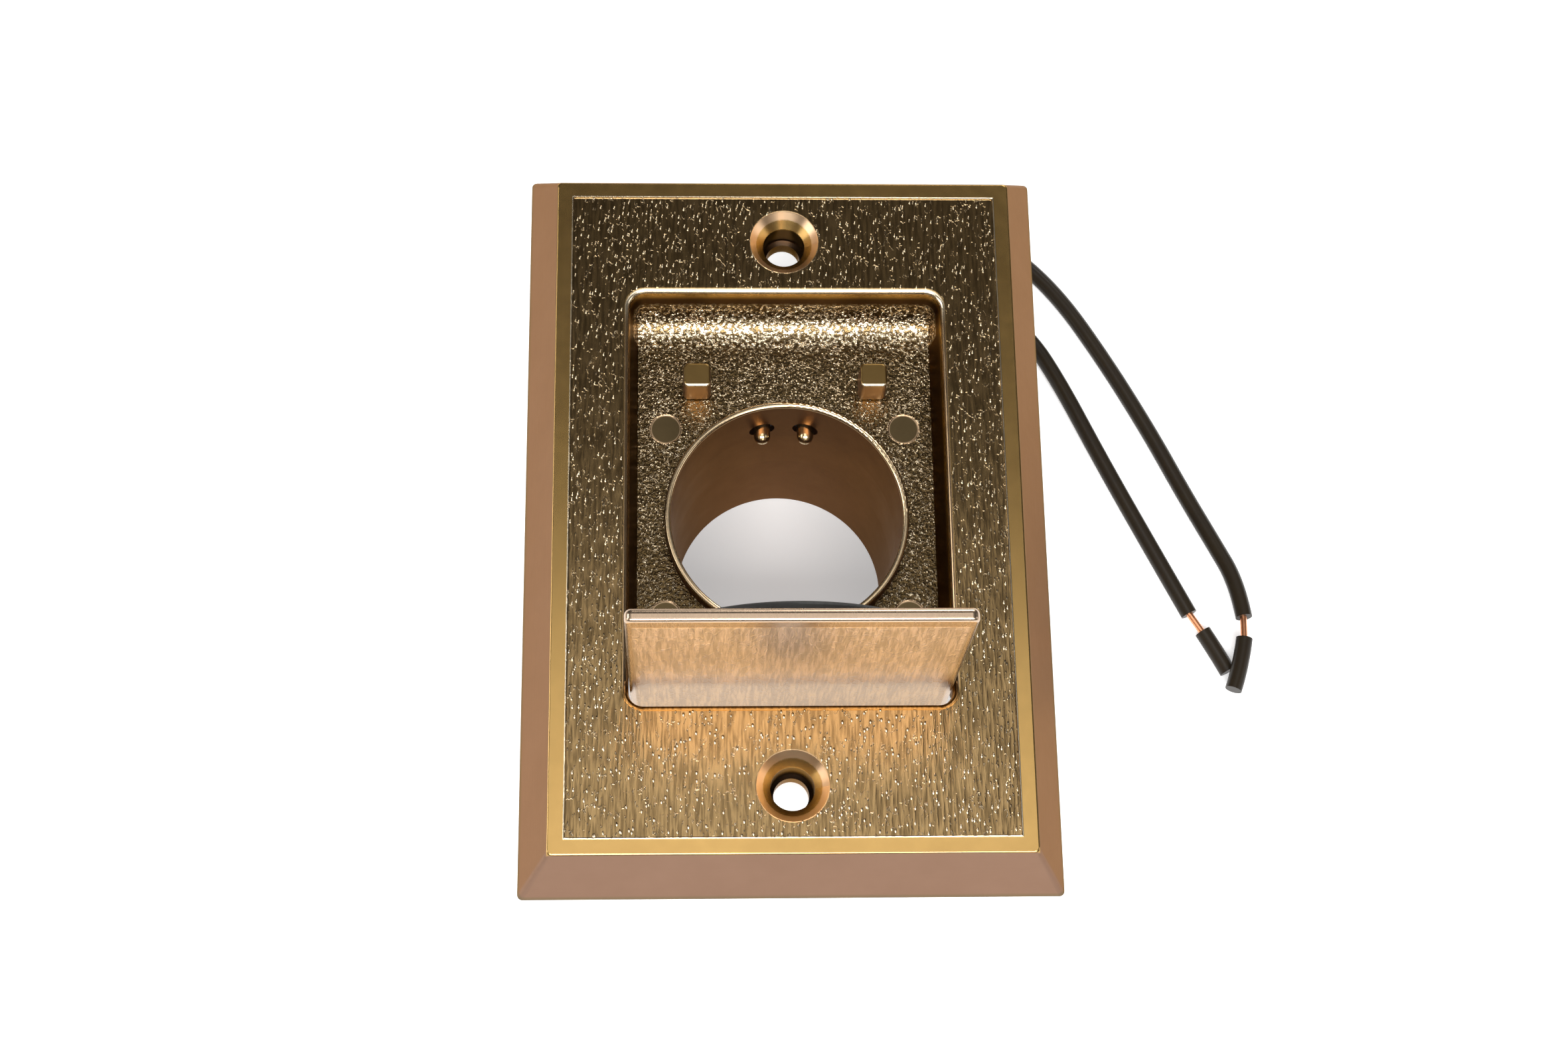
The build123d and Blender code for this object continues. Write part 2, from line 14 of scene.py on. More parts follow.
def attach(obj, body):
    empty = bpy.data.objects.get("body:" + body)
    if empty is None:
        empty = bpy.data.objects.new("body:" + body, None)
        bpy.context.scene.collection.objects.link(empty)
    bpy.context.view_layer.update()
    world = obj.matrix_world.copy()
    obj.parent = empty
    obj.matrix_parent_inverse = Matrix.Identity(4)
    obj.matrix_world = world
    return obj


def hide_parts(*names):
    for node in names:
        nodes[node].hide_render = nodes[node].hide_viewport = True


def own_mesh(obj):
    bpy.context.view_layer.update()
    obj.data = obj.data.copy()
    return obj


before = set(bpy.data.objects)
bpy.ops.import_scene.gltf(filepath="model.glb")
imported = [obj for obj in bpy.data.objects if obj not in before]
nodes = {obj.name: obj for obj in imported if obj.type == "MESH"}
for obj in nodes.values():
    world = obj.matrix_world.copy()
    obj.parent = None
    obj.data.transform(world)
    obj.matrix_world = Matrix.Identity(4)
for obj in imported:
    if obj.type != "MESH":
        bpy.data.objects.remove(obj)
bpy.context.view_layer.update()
MM = 0.001

# ---- Camera ----------------------------------------------------------------------------------
CAMERA_AT = (-0.01694, -0.13517, 0.38309)
CAMERA_AXES = (
    (0.99917, 0.00123, -0.04081),
    (-0.01478, 0.94263, -0.33350),
    (0.03806, 0.33383, 0.94186),
)
CAMERA_LENS = 56.56


def add_camera():
    """A viewpoint above the plate's lower edge, looking down at the plate."""
    data = bpy.data.cameras.new("camera")
    data.sensor_width = 36
    data.lens = CAMERA_LENS
    data.clip_start = 0.01
    data.clip_end = 20
    camera = bpy.data.objects.new("camera", data)
    bpy.context.scene.collection.objects.link(camera)
    camera.matrix_world = Matrix.Translation(CAMERA_AT) @ Matrix(CAMERA_AXES).to_4x4()
    bpy.context.scene.camera = camera


add_camera()

# ---- Leads -----------------------------------------------------------------------------------
LEAD_R = 1.5
CONDUCTOR_R = 0.6
TABLE = -38.0
LEAD_Z = TABLE + LEAD_R + 0.02
CONTACT_HALF_SPACING = 3.65
CONTACT_Z = -4.6
LEAD_START = 33.4
LEAD_STRAIGHT = 42.0


def on_contact(side, y):
    """A point on one contact's line."""
    return (side * CONTACT_HALF_SPACING, y, CONTACT_Z)


LEADS = {
    "wire_upper": {
        "route": [
            on_contact(-1, LEAD_START), on_contact(-1, LEAD_STRAIGHT), (-4.8, 52.4, -10.0),
            (-1.6, 61.5, -22.0), (6.2, 68.8, -33.4), (18.0, 73.6, LEAD_Z), (32.0, 74.0, LEAD_Z),
            (44.0, 67.6, LEAD_Z), (53.2, 58.4, LEAD_Z), (61.6, 44.4, LEAD_Z), (68.9, 30.4, LEAD_Z),
            (74.4, 18.4, -36.4), (78.7, 9.2, -35.7), (82.5, 0.7, -34.7), (83.1, -5.9, -34.1),
        ],
        "length": 175.0,
        "bare": [(83.05, -4.9, -34.17), (82.9, -7.9, -33.98), (82.75, -10.9, -33.83)],
        "slug": [(82.8, -9.9, -33.85), (81.9, -14.7, -33.75), (80.1, -19.4, -33.7)],
    },
    "wire_lower": {
        "route": [
            on_contact(1, LEAD_START), on_contact(1, LEAD_STRAIGHT), (6.9, 51.4, -10.4),
            (15.2, 57.2, -22.4), (27.0, 59.9, -34.0), (39.6, 56.6, LEAD_Z), (47.6, 49.6, LEAD_Z),
            (52.9, 40.0, LEAD_Z), (59.4, 25.4, LEAD_Z), (66.6, 10.2, LEAD_Z), (73.8, -4.6, LEAD_Z),
        ],
        "length": 135.3,
        "bare": [(73.3, -3.7, LEAD_Z), (74.9, -6.2, LEAD_Z), (76.4, -8.7, LEAD_Z)],
        "slug": [(76.0, -7.8, LEAD_Z), (78.1, -11.5, LEAD_Z), (80.0, -15.3, LEAD_Z)],
    },
}


def round_curve(name, points, radius):
    """A smooth round cord whose control points are given in millimetres."""
    curve = bpy.data.curves.new(name, "CURVE")
    curve.dimensions = "3D"
    curve.bevel_depth = 1.0
    curve.bevel_resolution = 6
    curve.resolution_u = 16
    curve.use_fill_caps = True
    spline = curve.splines.new("NURBS")
    spline.points.add(len(points) - 1)
    for point, place in zip(spline.points, points):
        point.co = (*(Vector(place) * MM), 1)
        point.radius = radius * MM
    spline.order_u = 3
    spline.use_endpoint_u = True
    piece = bpy.data.objects.new(name, curve)
    bpy.context.scene.collection.objects.link(piece)
    return piece


leads, conductors = [], []
for node, lead in LEADS.items():
    wire = round_curve("lead_" + node[5:], lead["route"], LEAD_R)
    bare = round_curve("conductor_" + node[5:], lead["bare"], CONDUCTOR_R)
    slug = round_curve("slug_" + node[5:], lead["slug"], LEAD_R)
    for piece, replaced, slot in (
        (wire, node, "insulation"),
        (bare, node + "_copper", "copper"),
        (slug, node + "_slug", "insulation"),
    ):
        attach(piece, "plate")
        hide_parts(replaced)
    leads += [wire, slug]
    conductors.append(bare)

# ---- Springs ---------------------------------------------------------------------------------
HINGE_Y, HINGE_Z = -21.6, -0.4
DOOR_COIL_R, DOOR_WIRE_R = 1.55, 0.35
DOOR_COIL_X = (12.0, 17.4)  # the part that turns with the door
FIXED_RING_X = (17.6, 18.6)  # the last ring, held by the plate
TAIL_Y = -28.55             # where the door leg bends down the door's tail
FLOOR_LEG_END = (-13.6, -1.47)
CONTACT_COIL_Y = (23.12, 28.28)
CONTACT_COIL_R, CONTACT_WIRE_R = 1.4, 0.2
RING_POINTS = 12


def ring_points(start, end, radius, turns, across, up):
    """A helix from start to end, beginning at its lowest point and moving off along across."""
    start, end, across, up = (Vector(v) for v in (start, end, across, up))
    count = round(turns * RING_POINTS)
    points = []
    for step in range(count + 1):
        share = step / count
        angle = 2 * math.pi * turns * share
        swing = across * math.sin(angle) - up * math.cos(angle)
        points.append(start.lerp(end, share) + swing * radius)
    return points


def as_mesh(piece):
    """The same round wire as a mesh object."""
    shape = piece.evaluated_get(bpy.context.evaluated_depsgraph_get())
    mesh = bpy.data.meshes.new_from_object(shape)
    for face in mesh.polygons:
        face.use_smooth = True
    name = piece.name
    bpy.data.objects.remove(piece)
    made = bpy.data.objects.new(name, mesh)
    bpy.context.scene.collection.objects.link(made)
    return made


def door_spring(side, word):
    """Coil and door leg that turn with the door, and the last ring and leg that stay with the plate."""
    low = HINGE_Z - DOOR_COIL_R
    axis_points = [(side * x, HINGE_Y, HINGE_Z) for x in DOOR_COIL_X]
    coil = ring_points(*axis_points, DOOR_COIL_R, 5, (0, 1, 0), (0, 0, 1))
    x = side * DOOR_COIL_X[0]
    leg = [
        (x, TAIL_Y + 0.12, low - 6.3), (x, TAIL_Y + 0.06, low - 3.0), (x, TAIL_Y + 0.02, low - 0.8),
        (x, TAIL_Y + 0.8, low), (x, TAIL_Y + 3.2, low),
    ]
    turning = as_mesh(round_curve("spring_coil_" + word, leg + coil, DOOR_WIRE_R))
    axis_points = [(side * x, HINGE_Y, HINGE_Z) for x in FIXED_RING_X]
    ring = ring_points(*axis_points, DOOR_COIL_R, 1, (0, 1, 0), (0, 0, 1))
    x = side * FIXED_RING_X[1]
    leg = [(x, HINGE_Y + 1.6, low), (x, HINGE_Y + 3.4, low + 0.06), (x, *FLOOR_LEG_END)]
    fixed = as_mesh(round_curve("spring_leg_" + word, ring + leg, DOOR_WIRE_R))
    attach(turning, "door")
    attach(fixed, "plate")
    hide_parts("door_spring_" + word)
    return [turning, fixed]


def contact_spring(side, word):
    """A compression spring on its pin's line, which in the real inlet shortens as the pin is pushed in; here
    a fixed coil with a mesh of its own.
    """
    ends = [on_contact(side, y) for y in CONTACT_COIL_Y]
    coil = ring_points(*ends, CONTACT_COIL_R, 5, (1, 0, 0), (0, 0, 1))
    piece = as_mesh(round_curve("contact_coil_" + word, coil, CONTACT_WIRE_R))
    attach(piece, "plate")
    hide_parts("contact_spring_" + word)
    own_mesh(piece)
    return [piece]


springs = []
for side, word in ((-1, "left"), (1, "right")):
    springs += door_spring(side, word) + contact_spring(side, word)

# ---- Materials -------------------------------------------------------------------------------
class Shader:
    """A Principled material and short calls that add and join its nodes."""

    def __init__(self, name, **constants):
        self.material = bpy.data.materials.new(name)
        self.material.use_nodes = True
        self.tree = self.material.node_tree
        self.bsdf = self.tree.nodes["Principled BSDF"]
        for socket, value in constants.items():
            self.bsdf.inputs[socket.replace("_", " ")].default_value = value
        self.place = self.node("ShaderNodeTexCoord").outputs["Object"]

    def node(self, kind, inputs=(), **settings):
        """A node with its settings, and each input joined to a socket or set to a value."""
        made = self.tree.nodes.new(kind)
        for key, value in settings.items():
            setattr(made, key, value)
        for key, value in dict(inputs).items():
            if isinstance(value, bpy.types.NodeSocket):
                self.tree.links.new(value, made.inputs[key])
            else:
                made.inputs[key].default_value = value
        return made

    def calc(self, operation, *values, clamp=False):
        """One Math node."""
        made = self.node("ShaderNodeMath", enumerate(values), operation=operation, use_clamp=clamp)
        return made.outputs[0]

    def step(self, value, low, high):
        """0 below low and 1 above high, smooth between."""
        inputs = {"Value": value, "From Min": low, "From Max": high}
        made = self.node("ShaderNodeMapRange", inputs, interpolation_type="SMOOTHSTEP")
        return made.outputs["Result"]

    def span(self, value, low, high, edge):
        """1 between low and high, falling to 0 over edge at both ends."""
        rise = self.step(value, low - edge, low)
        fall = self.step(value, high, high + edge)
        return self.calc("SUBTRACT", rise, fall, clamp=True)

    def blend(self, amount, first, second):
        """Colours or numbers, from first at 0 to second at 1."""
        colour = any(
            hasattr(v, "__len__") or getattr(v, "type", "") == "RGBA" for v in (first, second)
        )
        if colour:
            first, second = (
                (*v, 1.0) if hasattr(v, "__len__") and len(v) == 3 else v for v in (first, second)
            )
            made = self.node("ShaderNodeMix", {"Factor": amount}, data_type="RGBA")
            ends, out = (6, 7), 2
        else:
            made = self.node("ShaderNodeMix", {"Factor": amount})
            ends, out = (2, 3), 0
        for index, value in zip(ends, (first, second)):
            if isinstance(value, bpy.types.NodeSocket):
                self.tree.links.new(value, made.inputs[index])
            else:
                made.inputs[index].default_value = value
        return made.outputs[out]

    def stretch(self, x, y, z):
        """The object's own coordinates, scaled by x, y and z."""
        made = self.node("ShaderNodeMapping", {"Vector": self.place, "Scale": (x, y, z)})
        return made.outputs["Vector"]

    def noise(self, scale, detail=2.0, roughness=0.5, where=None):
        """Noise from 0 to 1, with scale in cycles per metre unless where is scaled already."""
        inputs = {
            "Vector": where or self.place, "Scale": scale, "Detail": detail, "Roughness": roughness,
            "Distortion": 0.0,
        }
        return self.node("ShaderNodeTexNoise", inputs).outputs["Fac"]

    def dots(self, where, scale, size, share):
        """Separate domes, size of a cell wide, in about share of the cells."""
        made = self.node("ShaderNodeTexVoronoi", {"Vector": where, "Scale": scale})
        dome = self.step(made.outputs["Distance"], size, 0.0)
        chosen = self.step(made.outputs["Color"], 0.86 - 0.72 * share, 0.90 - 0.72 * share)
        return self.calc("MULTIPLY", dome, chosen)

    def worms(self, where, scale, width):
        """Thin winding ridges where noise crosses its middle."""
        off = self.calc("ABSOLUTE", self.calc("SUBTRACT", self.noise(scale, 1.0, 0.5, where), 0.5))
        return self.step(off, width, 0.0)

    def bump(self, height, distance):
        """A bump whose height of 1 stands up by distance, in metres."""
        inputs = {"Height": height, "Distance": distance, "Strength": 1.0}
        return self.node("ShaderNodeBump", inputs).outputs["Normal"]

    def set(self, socket, value):
        """Joins a node's output to the shader."""
        self.tree.links.new(value, self.bsdf.inputs[socket])

    def axes(self):
        """X, Y and Z of the object's own coordinates."""
        split = self.node("ShaderNodeSeparateXYZ", {"Vector": self.place})
        return split.outputs


def give(material, *pieces):
    """Puts one material on whole pieces."""
    for piece in pieces:
        piece.data.materials.clear()
        piece.data.materials.append(material)


# Plate outlines that the materials follow, in metres
PANEL_HALF = (0.03535, 0.0547)
FACE_HALF = (0.03795, 0.0573)
POCKET_HALF = (0.02595, 0.03555)
POCKET_MIDDLE_Y = 0.0018
POCKET_CORNER = 0.0028
SCREW_Y = 0.04656
MARK_AT = (0.01985, 0.0163)
MARK_R = 0.00255
SCREW_CONE = (0.0056, 0.0059)     # radius where the countersink ends
TOP_Z = (0.0085, 0.0088)          # above this is the plate's face
FLOOR_Z = (0.0015, 0.0012)        # below this is the pocket's floor
REST_X, REST_Y = (0.0120, 0.0173), (0.0210, 0.0264)
REST_TOP = (0.00655, 0.00685)
MOUTH_Z = (0.0033, 0.0037)        # above this is the tube's rolled mouth
DOOR_Z, DOOR_HALF_X = (-0.0095, 0.0455), 0.0246

GRAZING_TINT = (0.62, 0.48, 0.36, 1.0)  # keeps lacquered bronze from whitening at grazing angles
PANEL_RELIEF, FLOOR_RELIEF, LIP_RELIEF = 0.00013, 0.00014, 0.00007
BRUSHED_RELIEF, DOOR_RELIEF, TUBE_RELIEF = 0.000008, 0.00006, 0.000012
LIP_WIDTH = 0.00016


def pocket_distance(s, x, y):
    """Distance outside the pocket's rim, negative inside."""
    out_x = s.calc("SUBTRACT", s.calc("ABSOLUTE", x), POCKET_HALF[0] - POCKET_CORNER)
    from_middle = s.calc("ABSOLUTE", s.calc("SUBTRACT", y, POCKET_MIDDLE_Y))
    out_y = s.calc("SUBTRACT", from_middle, POCKET_HALF[1] - POCKET_CORNER)
    far_x = s.calc("MAXIMUM", out_x, 0.0)
    far_y = s.calc("MAXIMUM", out_y, 0.0)
    corner = s.calc("SQRT", s.calc("ADD", s.calc("POWER", far_x, 2.0), s.calc("POWER", far_y, 2.0)))
    inner = s.calc("MINIMUM", s.calc("MAXIMUM", out_x, out_y), 0.0)
    return s.calc("SUBTRACT", s.calc("ADD", corner, inner), POCKET_CORNER)


def screw_distance(s, x, y):
    """Distance from the nearer screw hole's axis."""
    from_hole = s.calc("SUBTRACT", s.calc("ABSOLUTE", y), SCREW_Y)
    squares = s.calc("ADD", s.calc("POWER", x, 2.0), s.calc("POWER", from_hole, 2.0))
    return s.calc("SQRT", squares)


def border_ring(s, across, along, width):
    """1 within width of the step between the border strip and the panel."""
    edges = []
    for shift in (width, -width):
        by_x = s.step(across, PANEL_HALF[0] + shift + 0.00006, PANEL_HALF[0] + shift - 0.00006)
        by_y = s.step(along, PANEL_HALF[1] + shift + 0.00006, PANEL_HALF[1] + shift - 0.00006)
        edges.append(s.calc("MULTIPLY", by_x, by_y))
    return s.calc("SUBTRACT", *edges, clamp=True)


def mark_distance(s, across, along):
    """Distance from the nearest round ejector mark's middle."""
    from_x = s.calc("SUBTRACT", across, MARK_AT[0])
    from_y = s.calc("SUBTRACT", along, MARK_AT[1])
    return s.calc("SQRT", s.calc("ADD", s.calc("POWER", from_x, 2.0), s.calc("POWER", from_y, 2.0)))


def plate_zones(s):
    """Masks, from 0 to 1, of the plate's parts, and the coordinates that they come from."""
    x, y, z = s.axes()
    across = s.calc("ABSOLUTE", x)
    along = s.calc("ABSOLUTE", y)
    past_x = s.step(across, FACE_HALF[0] - 0.00015, FACE_HALF[0] + 0.00015)
    past_y = s.step(along, FACE_HALF[1] - 0.00015, FACE_HALF[1] + 0.00015)
    bevel = s.calc("MAXIMUM", past_x, past_y)
    in_x = s.step(across, PANEL_HALF[0] + 0.0001, PANEL_HALF[0] - 0.0001)
    in_y = s.step(along, PANEL_HALF[1] + 0.0001, PANEL_HALF[1] - 0.0001)
    inside = s.calc("MULTIPLY", in_x, in_y)
    rim = pocket_distance(s, x, y)
    hole = screw_distance(s, x, y)
    top = s.step(z, *TOP_Z)
    low = s.step(z, *FLOOR_Z)
    outside_rim = s.step(rim, 0.00055, 0.00085)
    outside_hole = s.step(hole, *SCREW_CONE)
    panel = s.calc("MULTIPLY", s.calc("MULTIPLY", inside, outside_rim), outside_hole)
    panel = s.calc("MULTIPLY", panel, top)
    in_pocket = s.step(rim, -0.0001, -0.0004)
    cove = s.calc("MULTIPLY", s.step(y, 0.0305, 0.0315), s.step(z, 0.0068, 0.0052))
    mark = mark_distance(s, across, along)
    mark_edge_highlight = s.calc("MULTIPLY", s.span(mark, MARK_R - 0.00018, MARK_R + 0.00012, 0.0001), low)
    off_mark = s.step(mark, MARK_R - 0.0001, MARK_R + 0.0001)
    floor = s.calc("MULTIPLY", in_pocket, s.calc("MAXIMUM", s.calc("MULTIPLY", low, off_mark), cove))
    rolled = s.calc("MULTIPLY", s.span(rim, -0.0007, 0.0005, 0.0002), s.step(z, 0.0090, 0.0093))
    upper = s.step(y, 0.031, 0.036)
    cone = s.calc("SUBTRACT", 1.0, outside_hole)
    textured = s.calc("MAXIMUM", panel, floor)
    lip = border_ring(s, across, along, LIP_WIDTH)
    return SimpleNamespace(
        y=y, z=z, across=across, bevel=bevel, panel=panel, top=top, low=low, in_pocket=in_pocket,
        cove=cove, mark_edge_highlight=mark_edge_highlight, off_mark=off_mark, floor=floor, rolled=rolled, upper=upper,
        cone=cone, textured=textured, lip=lip,
    )


def plate_relief(s, at):
    """Domes and ridges over a vertical grain, denser in the pocket, and brushed bevels."""
    grain = s.stretch(1.0, 0.5, 1.0)
    streaks = s.noise(1.0, 2.0, 0.5, s.stretch(2100.0, 210.0, 300.0))
    ridges = s.calc("MULTIPLY", s.worms(grain, 1300.0, 0.035), s.step(s.noise(700.0), 0.52, 0.60))
    panel_tips = s.calc("MAXIMUM", s.dots(grain, 1500.0, 0.31, 0.85), s.calc("MULTIPLY", ridges, 0.25))
    panel_relief = s.calc("ADD", s.calc("MULTIPLY", streaks, 0.6), panel_tips)
    lumps = s.noise(1700.0, 2.0, 0.55)
    curls = s.calc("MULTIPLY", s.worms(s.place, 1500.0, 0.07), s.step(lumps, 0.40, 0.55))
    clusters = s.blend(s.step(s.noise(140.0), 0.40, 0.62), 0.55, 1.0)
    floor_tips = s.calc("MAXIMUM", s.dots(s.place, 1500.0, 0.34, 0.55), s.calc("MULTIPLY", curls, 0.55))
    floor_tips = s.calc("MULTIPLY", floor_tips, clusters)
    floor_relief = s.calc("ADD", lumps, floor_tips)
    panel_height = s.calc("MULTIPLY", s.calc("MULTIPLY", panel_relief, at.panel), PANEL_RELIEF)
    floor_height = s.calc("MULTIPLY", s.calc("MULTIPLY", floor_relief, at.floor), FLOOR_RELIEF)
    brushed = s.noise(1.0, 2.0, 0.6, s.stretch(140.0, 140.0, 2600.0))
    brushed_height = s.calc("MULTIPLY", s.calc("MULTIPLY", brushed, at.bevel), BRUSHED_RELIEF)
    brushed_height = s.calc("ADD", brushed_height, s.calc("MULTIPLY", at.lip, LIP_RELIEF))
    height = s.calc("ADD", s.calc("ADD", panel_height, floor_height), brushed_height)
    s.set("Normal", s.bump(height, 1.0))
    return SimpleNamespace(
        streaks=streaks, panel_tips=panel_tips, floor_tips=floor_tips, lumps=lumps,
    )


def plate_colour(s, at, tex):
    """Patchy dark-lacquered bronze carrying painted light: raised tips painted bright as rubbed wear and
    painted glints, painted shade in the grooves, the pocket and along the rim's bottom, lit and shaded faces
    on the rests, and painted highlights on the lip, the rests' front edges, the rim's top and the mark rings;
    returns the wear and glint mask.
    """
    patches = s.noise(85.0, 4.0, 0.6)
    lacquer_and_groove_shade = s.blend(patches, (0.31, 0.205, 0.092), (0.24, 0.158, 0.069))
    # Painted shade: the lacquer is darker in the grain's grooves.
    lacquer_and_groove_shade = s.blend(s.step(tex.streaks, 0.36, 0.62), (0.150, 0.097, 0.042), lacquer_and_groove_shade)
    # Painted shade: the pocket's floor is painted darker than the panel.
    sunken_lacquer_and_shade = s.blend(patches, (0.125, 0.082, 0.036), (0.085, 0.055, 0.022))
    ground = s.blend(at.in_pocket, lacquer_and_groove_shade, sunken_lacquer_and_shade)
    # Bright bronze, used for rubbed wear and for painted glints and highlights.
    bright = s.blend(patches, (0.98, 0.85, 0.64), (0.90, 0.75, 0.52))
    # Raised tips are painted bright: partly rubbed wear, partly painted glints.
    panel_wear_and_glints = s.calc("MULTIPLY", tex.panel_tips, at.panel)
    floor_wear_and_glints = s.calc("MULTIPLY", tex.floor_tips, at.floor)
    wear_and_glints = s.calc("ADD", panel_wear_and_glints, floor_wear_and_glints, clamp=True)
    # Painted glints: the cove's lumps are painted bright.
    wear_and_glints = s.calc("MAXIMUM", wear_and_glints, s.calc("MULTIPLY", at.cove, s.step(tex.lumps, 0.46, 0.62)))
    bronze = s.blend(wear_and_glints, ground, bright)
    satin = s.blend(patches, (0.230, 0.142, 0.100), (0.195, 0.118, 0.082))
    strip = s.blend(patches, (0.50, 0.315, 0.108), (0.38, 0.235, 0.080))
    champagne = s.blend(patches, (0.80, 0.56, 0.35), (0.66, 0.45, 0.27))
    # Painted shade: the pocket's walls are painted nearly black.
    wall = s.blend(patches, (0.050, 0.031, 0.019), (0.040, 0.024, 0.014))
    # Painted light: the rests' sides are painted lighter than their tops, as lit and shaded faces of one
    # bronze.
    rest_top_shade = s.blend(patches, (0.24, 0.150, 0.052), (0.19, 0.118, 0.040))
    rest_side_sheen = s.blend(patches, (0.50, 0.350, 0.235), (0.42, 0.290, 0.190))
    rest = s.blend(s.step(at.z, *REST_TOP), rest_side_sheen, rest_top_shade)
    colour = s.blend(at.bevel, strip, satin)
    # Painted highlight: the lip between the strip and the panel is painted bright.
    colour = s.blend(at.lip, colour, bright)
    colour = s.blend(at.in_pocket, colour, wall)
    on_rest = s.calc("MULTIPLY", s.span(at.y, *REST_Y, 0.0001), s.step(at.z, 0.0011, 0.0013))
    on_rest = s.calc("MULTIPLY", on_rest, s.span(at.across, *REST_X, 0.0001))
    colour = s.blend(on_rest, colour, rest)
    # Painted highlight: a bright line along the rests' front top edge.
    rest_edge_highlight = s.calc("MULTIPLY", s.step(at.z, 0.00642, 0.00658), s.step(at.y, 0.02215, 0.02200))
    colour = s.blend(s.calc("MULTIPLY", on_rest, rest_edge_highlight), colour, bright)
    colour = s.blend(at.textured, colour, bronze)
    colour = s.blend(s.calc("MULTIPLY", at.cone, at.top), colour, champagne)
    # Painted light on the rolled rim: a painted highlight at its top end, a painted sheen on its sides and
    # painted shade along its bottom.
    rim_sheen_and_bottom_shade = s.blend(s.step(at.y, -0.032, -0.029), lacquer_and_groove_shade, s.blend(0.45, lacquer_and_groove_shade, champagne))
    colour = s.blend(at.rolled, colour, s.blend(at.upper, rim_sheen_and_bottom_shade, bright))
    mark_disc = s.calc("MULTIPLY", s.calc("SUBTRACT", 1.0, at.off_mark), at.low)
    colour = s.blend(mark_disc, colour, (0.135, 0.095, 0.045))
    # Painted highlight: a bright ring round each ejector mark.
    colour = s.blend(s.calc("MULTIPLY", at.mark_edge_highlight, 0.55), colour, champagne)
    bare = s.calc("MULTIPLY", s.step(at.z, 0.0075, 0.0070), at.cone)
    colour = s.blend(bare, colour, (0.10, 0.065, 0.040))
    hidden = s.calc("MULTIPLY", s.step(at.z, 0.0009, 0.0002), s.step(at.z, 0.0075, 0.0070))
    s.set("Base Color", s.blend(hidden, colour, (0.16, 0.115, 0.070)))
    return wear_and_glints


def plate_roughness(s, at, wear_and_glints):
    """Smoother on the rubbed and glinting tips, satin on the bevels."""
    scuffs = s.noise(420.0, 3.0, 0.6)
    rough = s.blend(at.bevel, 0.22, 0.34)
    rough = s.blend(at.in_pocket, rough, 0.30)
    rough = s.blend(at.textured, rough, s.blend(wear_and_glints, 0.19, 0.12))
    rough = s.blend(at.rolled, rough, 0.20)
    rough = s.blend(s.calc("MULTIPLY", at.cone, at.top), rough, 0.26)
    s.set("Roughness", s.calc("ADD", rough, s.calc("MULTIPLY", scuffs, 0.07)))


def plate_material():
    """Antique bronze: satin bevels, dark polished strip, pebbled panel and floor, and a rolled rim with a
    painted highlight at its top and painted shade along its bottom.
    """
    s = Shader("antique_bronze", Metallic=1.0, Specular_Tint=GRAZING_TINT)
    at = plate_zones(s)
    tex = plate_relief(s, at)
    wear_and_glints = plate_colour(s, at, tex)
    plate_roughness(s, at, wear_and_glints)
    return s.material


def door_material():
    """Bronze with a grain that runs from the hinge to the free edge, and a smooth strip along that edge; the
    grain's ridges carry painted highlights and its lower part a painted warm reflection.
    """
    s = Shader("door_bronze", Metallic=1.0)
    x, y, z = s.axes()
    streaks = s.noise(1.0, 3.0, 0.6, s.stretch(2500.0, 300.0, 170.0))
    ridges = s.worms(s.stretch(1.0, 1.0, 0.35), 800.0, 0.045)
    height = s.calc("ADD", s.calc("MULTIPLY", streaks, 0.9), s.calc("MULTIPLY", ridges, 0.45))
    height = s.calc("ADD", height, s.dots(s.place, 950.0, 0.32, 0.25))
    face = s.step(y, -0.0306, -0.0310)
    along = s.span(z, *DOOR_Z, 0.0005)
    inner = s.calc("MULTIPLY", along, s.step(s.calc("ABSOLUTE", x), DOOR_HALF_X, DOOR_HALF_X - 0.0004))
    relief = s.calc("MULTIPLY", face, inner)
    s.set("Normal", s.bump(s.calc("MULTIPLY", height, relief), DOOR_RELIEF))
    patches = s.noise(70.0, 4.0, 0.6)
    # Grain tone, with its ridges painted lighter as painted highlights.
    grain_with_painted_light = s.blend(s.step(streaks, 0.38, 0.66), (0.40, 0.315, 0.245), (0.62, 0.490, 0.400))
    # Painted reflection: the door's lower part, near the plate, is painted darker and warmer.
    foot_reflection_tint = s.blend(s.step(streaks, 0.38, 0.66), (0.30, 0.185, 0.085), (0.45, 0.285, 0.140))
    grain_with_painted_light = s.blend(s.step(z, 0.0205, 0.0145), grain_with_painted_light, foot_reflection_tint)
    smooth = s.blend(patches, (0.50, 0.37, 0.26), (0.40, 0.29, 0.20))
    s.set("Base Color", s.blend(relief, smooth, grain_with_painted_light))
    s.set("Roughness", s.calc("ADD", s.calc("MULTIPLY", streaks, 0.12), s.blend(relief, 0.20, 0.26)))
    return s.material


def tube_material():
    """Satin brown bore with a bright rolled mouth."""
    s = Shader("tube_bronze", Metallic=1.0, Specular_Tint=GRAZING_TINT)
    mouth = s.step(s.axes()["Z"], *MOUTH_Z)
    patches = s.noise(120.0, 4.0, 0.65)
    satin = s.blend(patches, (0.195, 0.112, 0.072), (0.152, 0.085, 0.055))
    bright = s.blend(patches, (0.86, 0.66, 0.42), (0.66, 0.48, 0.28))
    s.set("Base Color", s.blend(mouth, satin, bright))
    drawn = s.noise(1.0, 3.0, 0.6, s.stretch(700.0, 700.0, 60.0))
    s.set("Normal", s.bump(drawn, TUBE_RELIEF))
    s.set("Roughness", s.calc("ADD", s.calc("MULTIPLY", patches, 0.12), s.blend(mouth, 0.34, 0.16)))
    return s.material


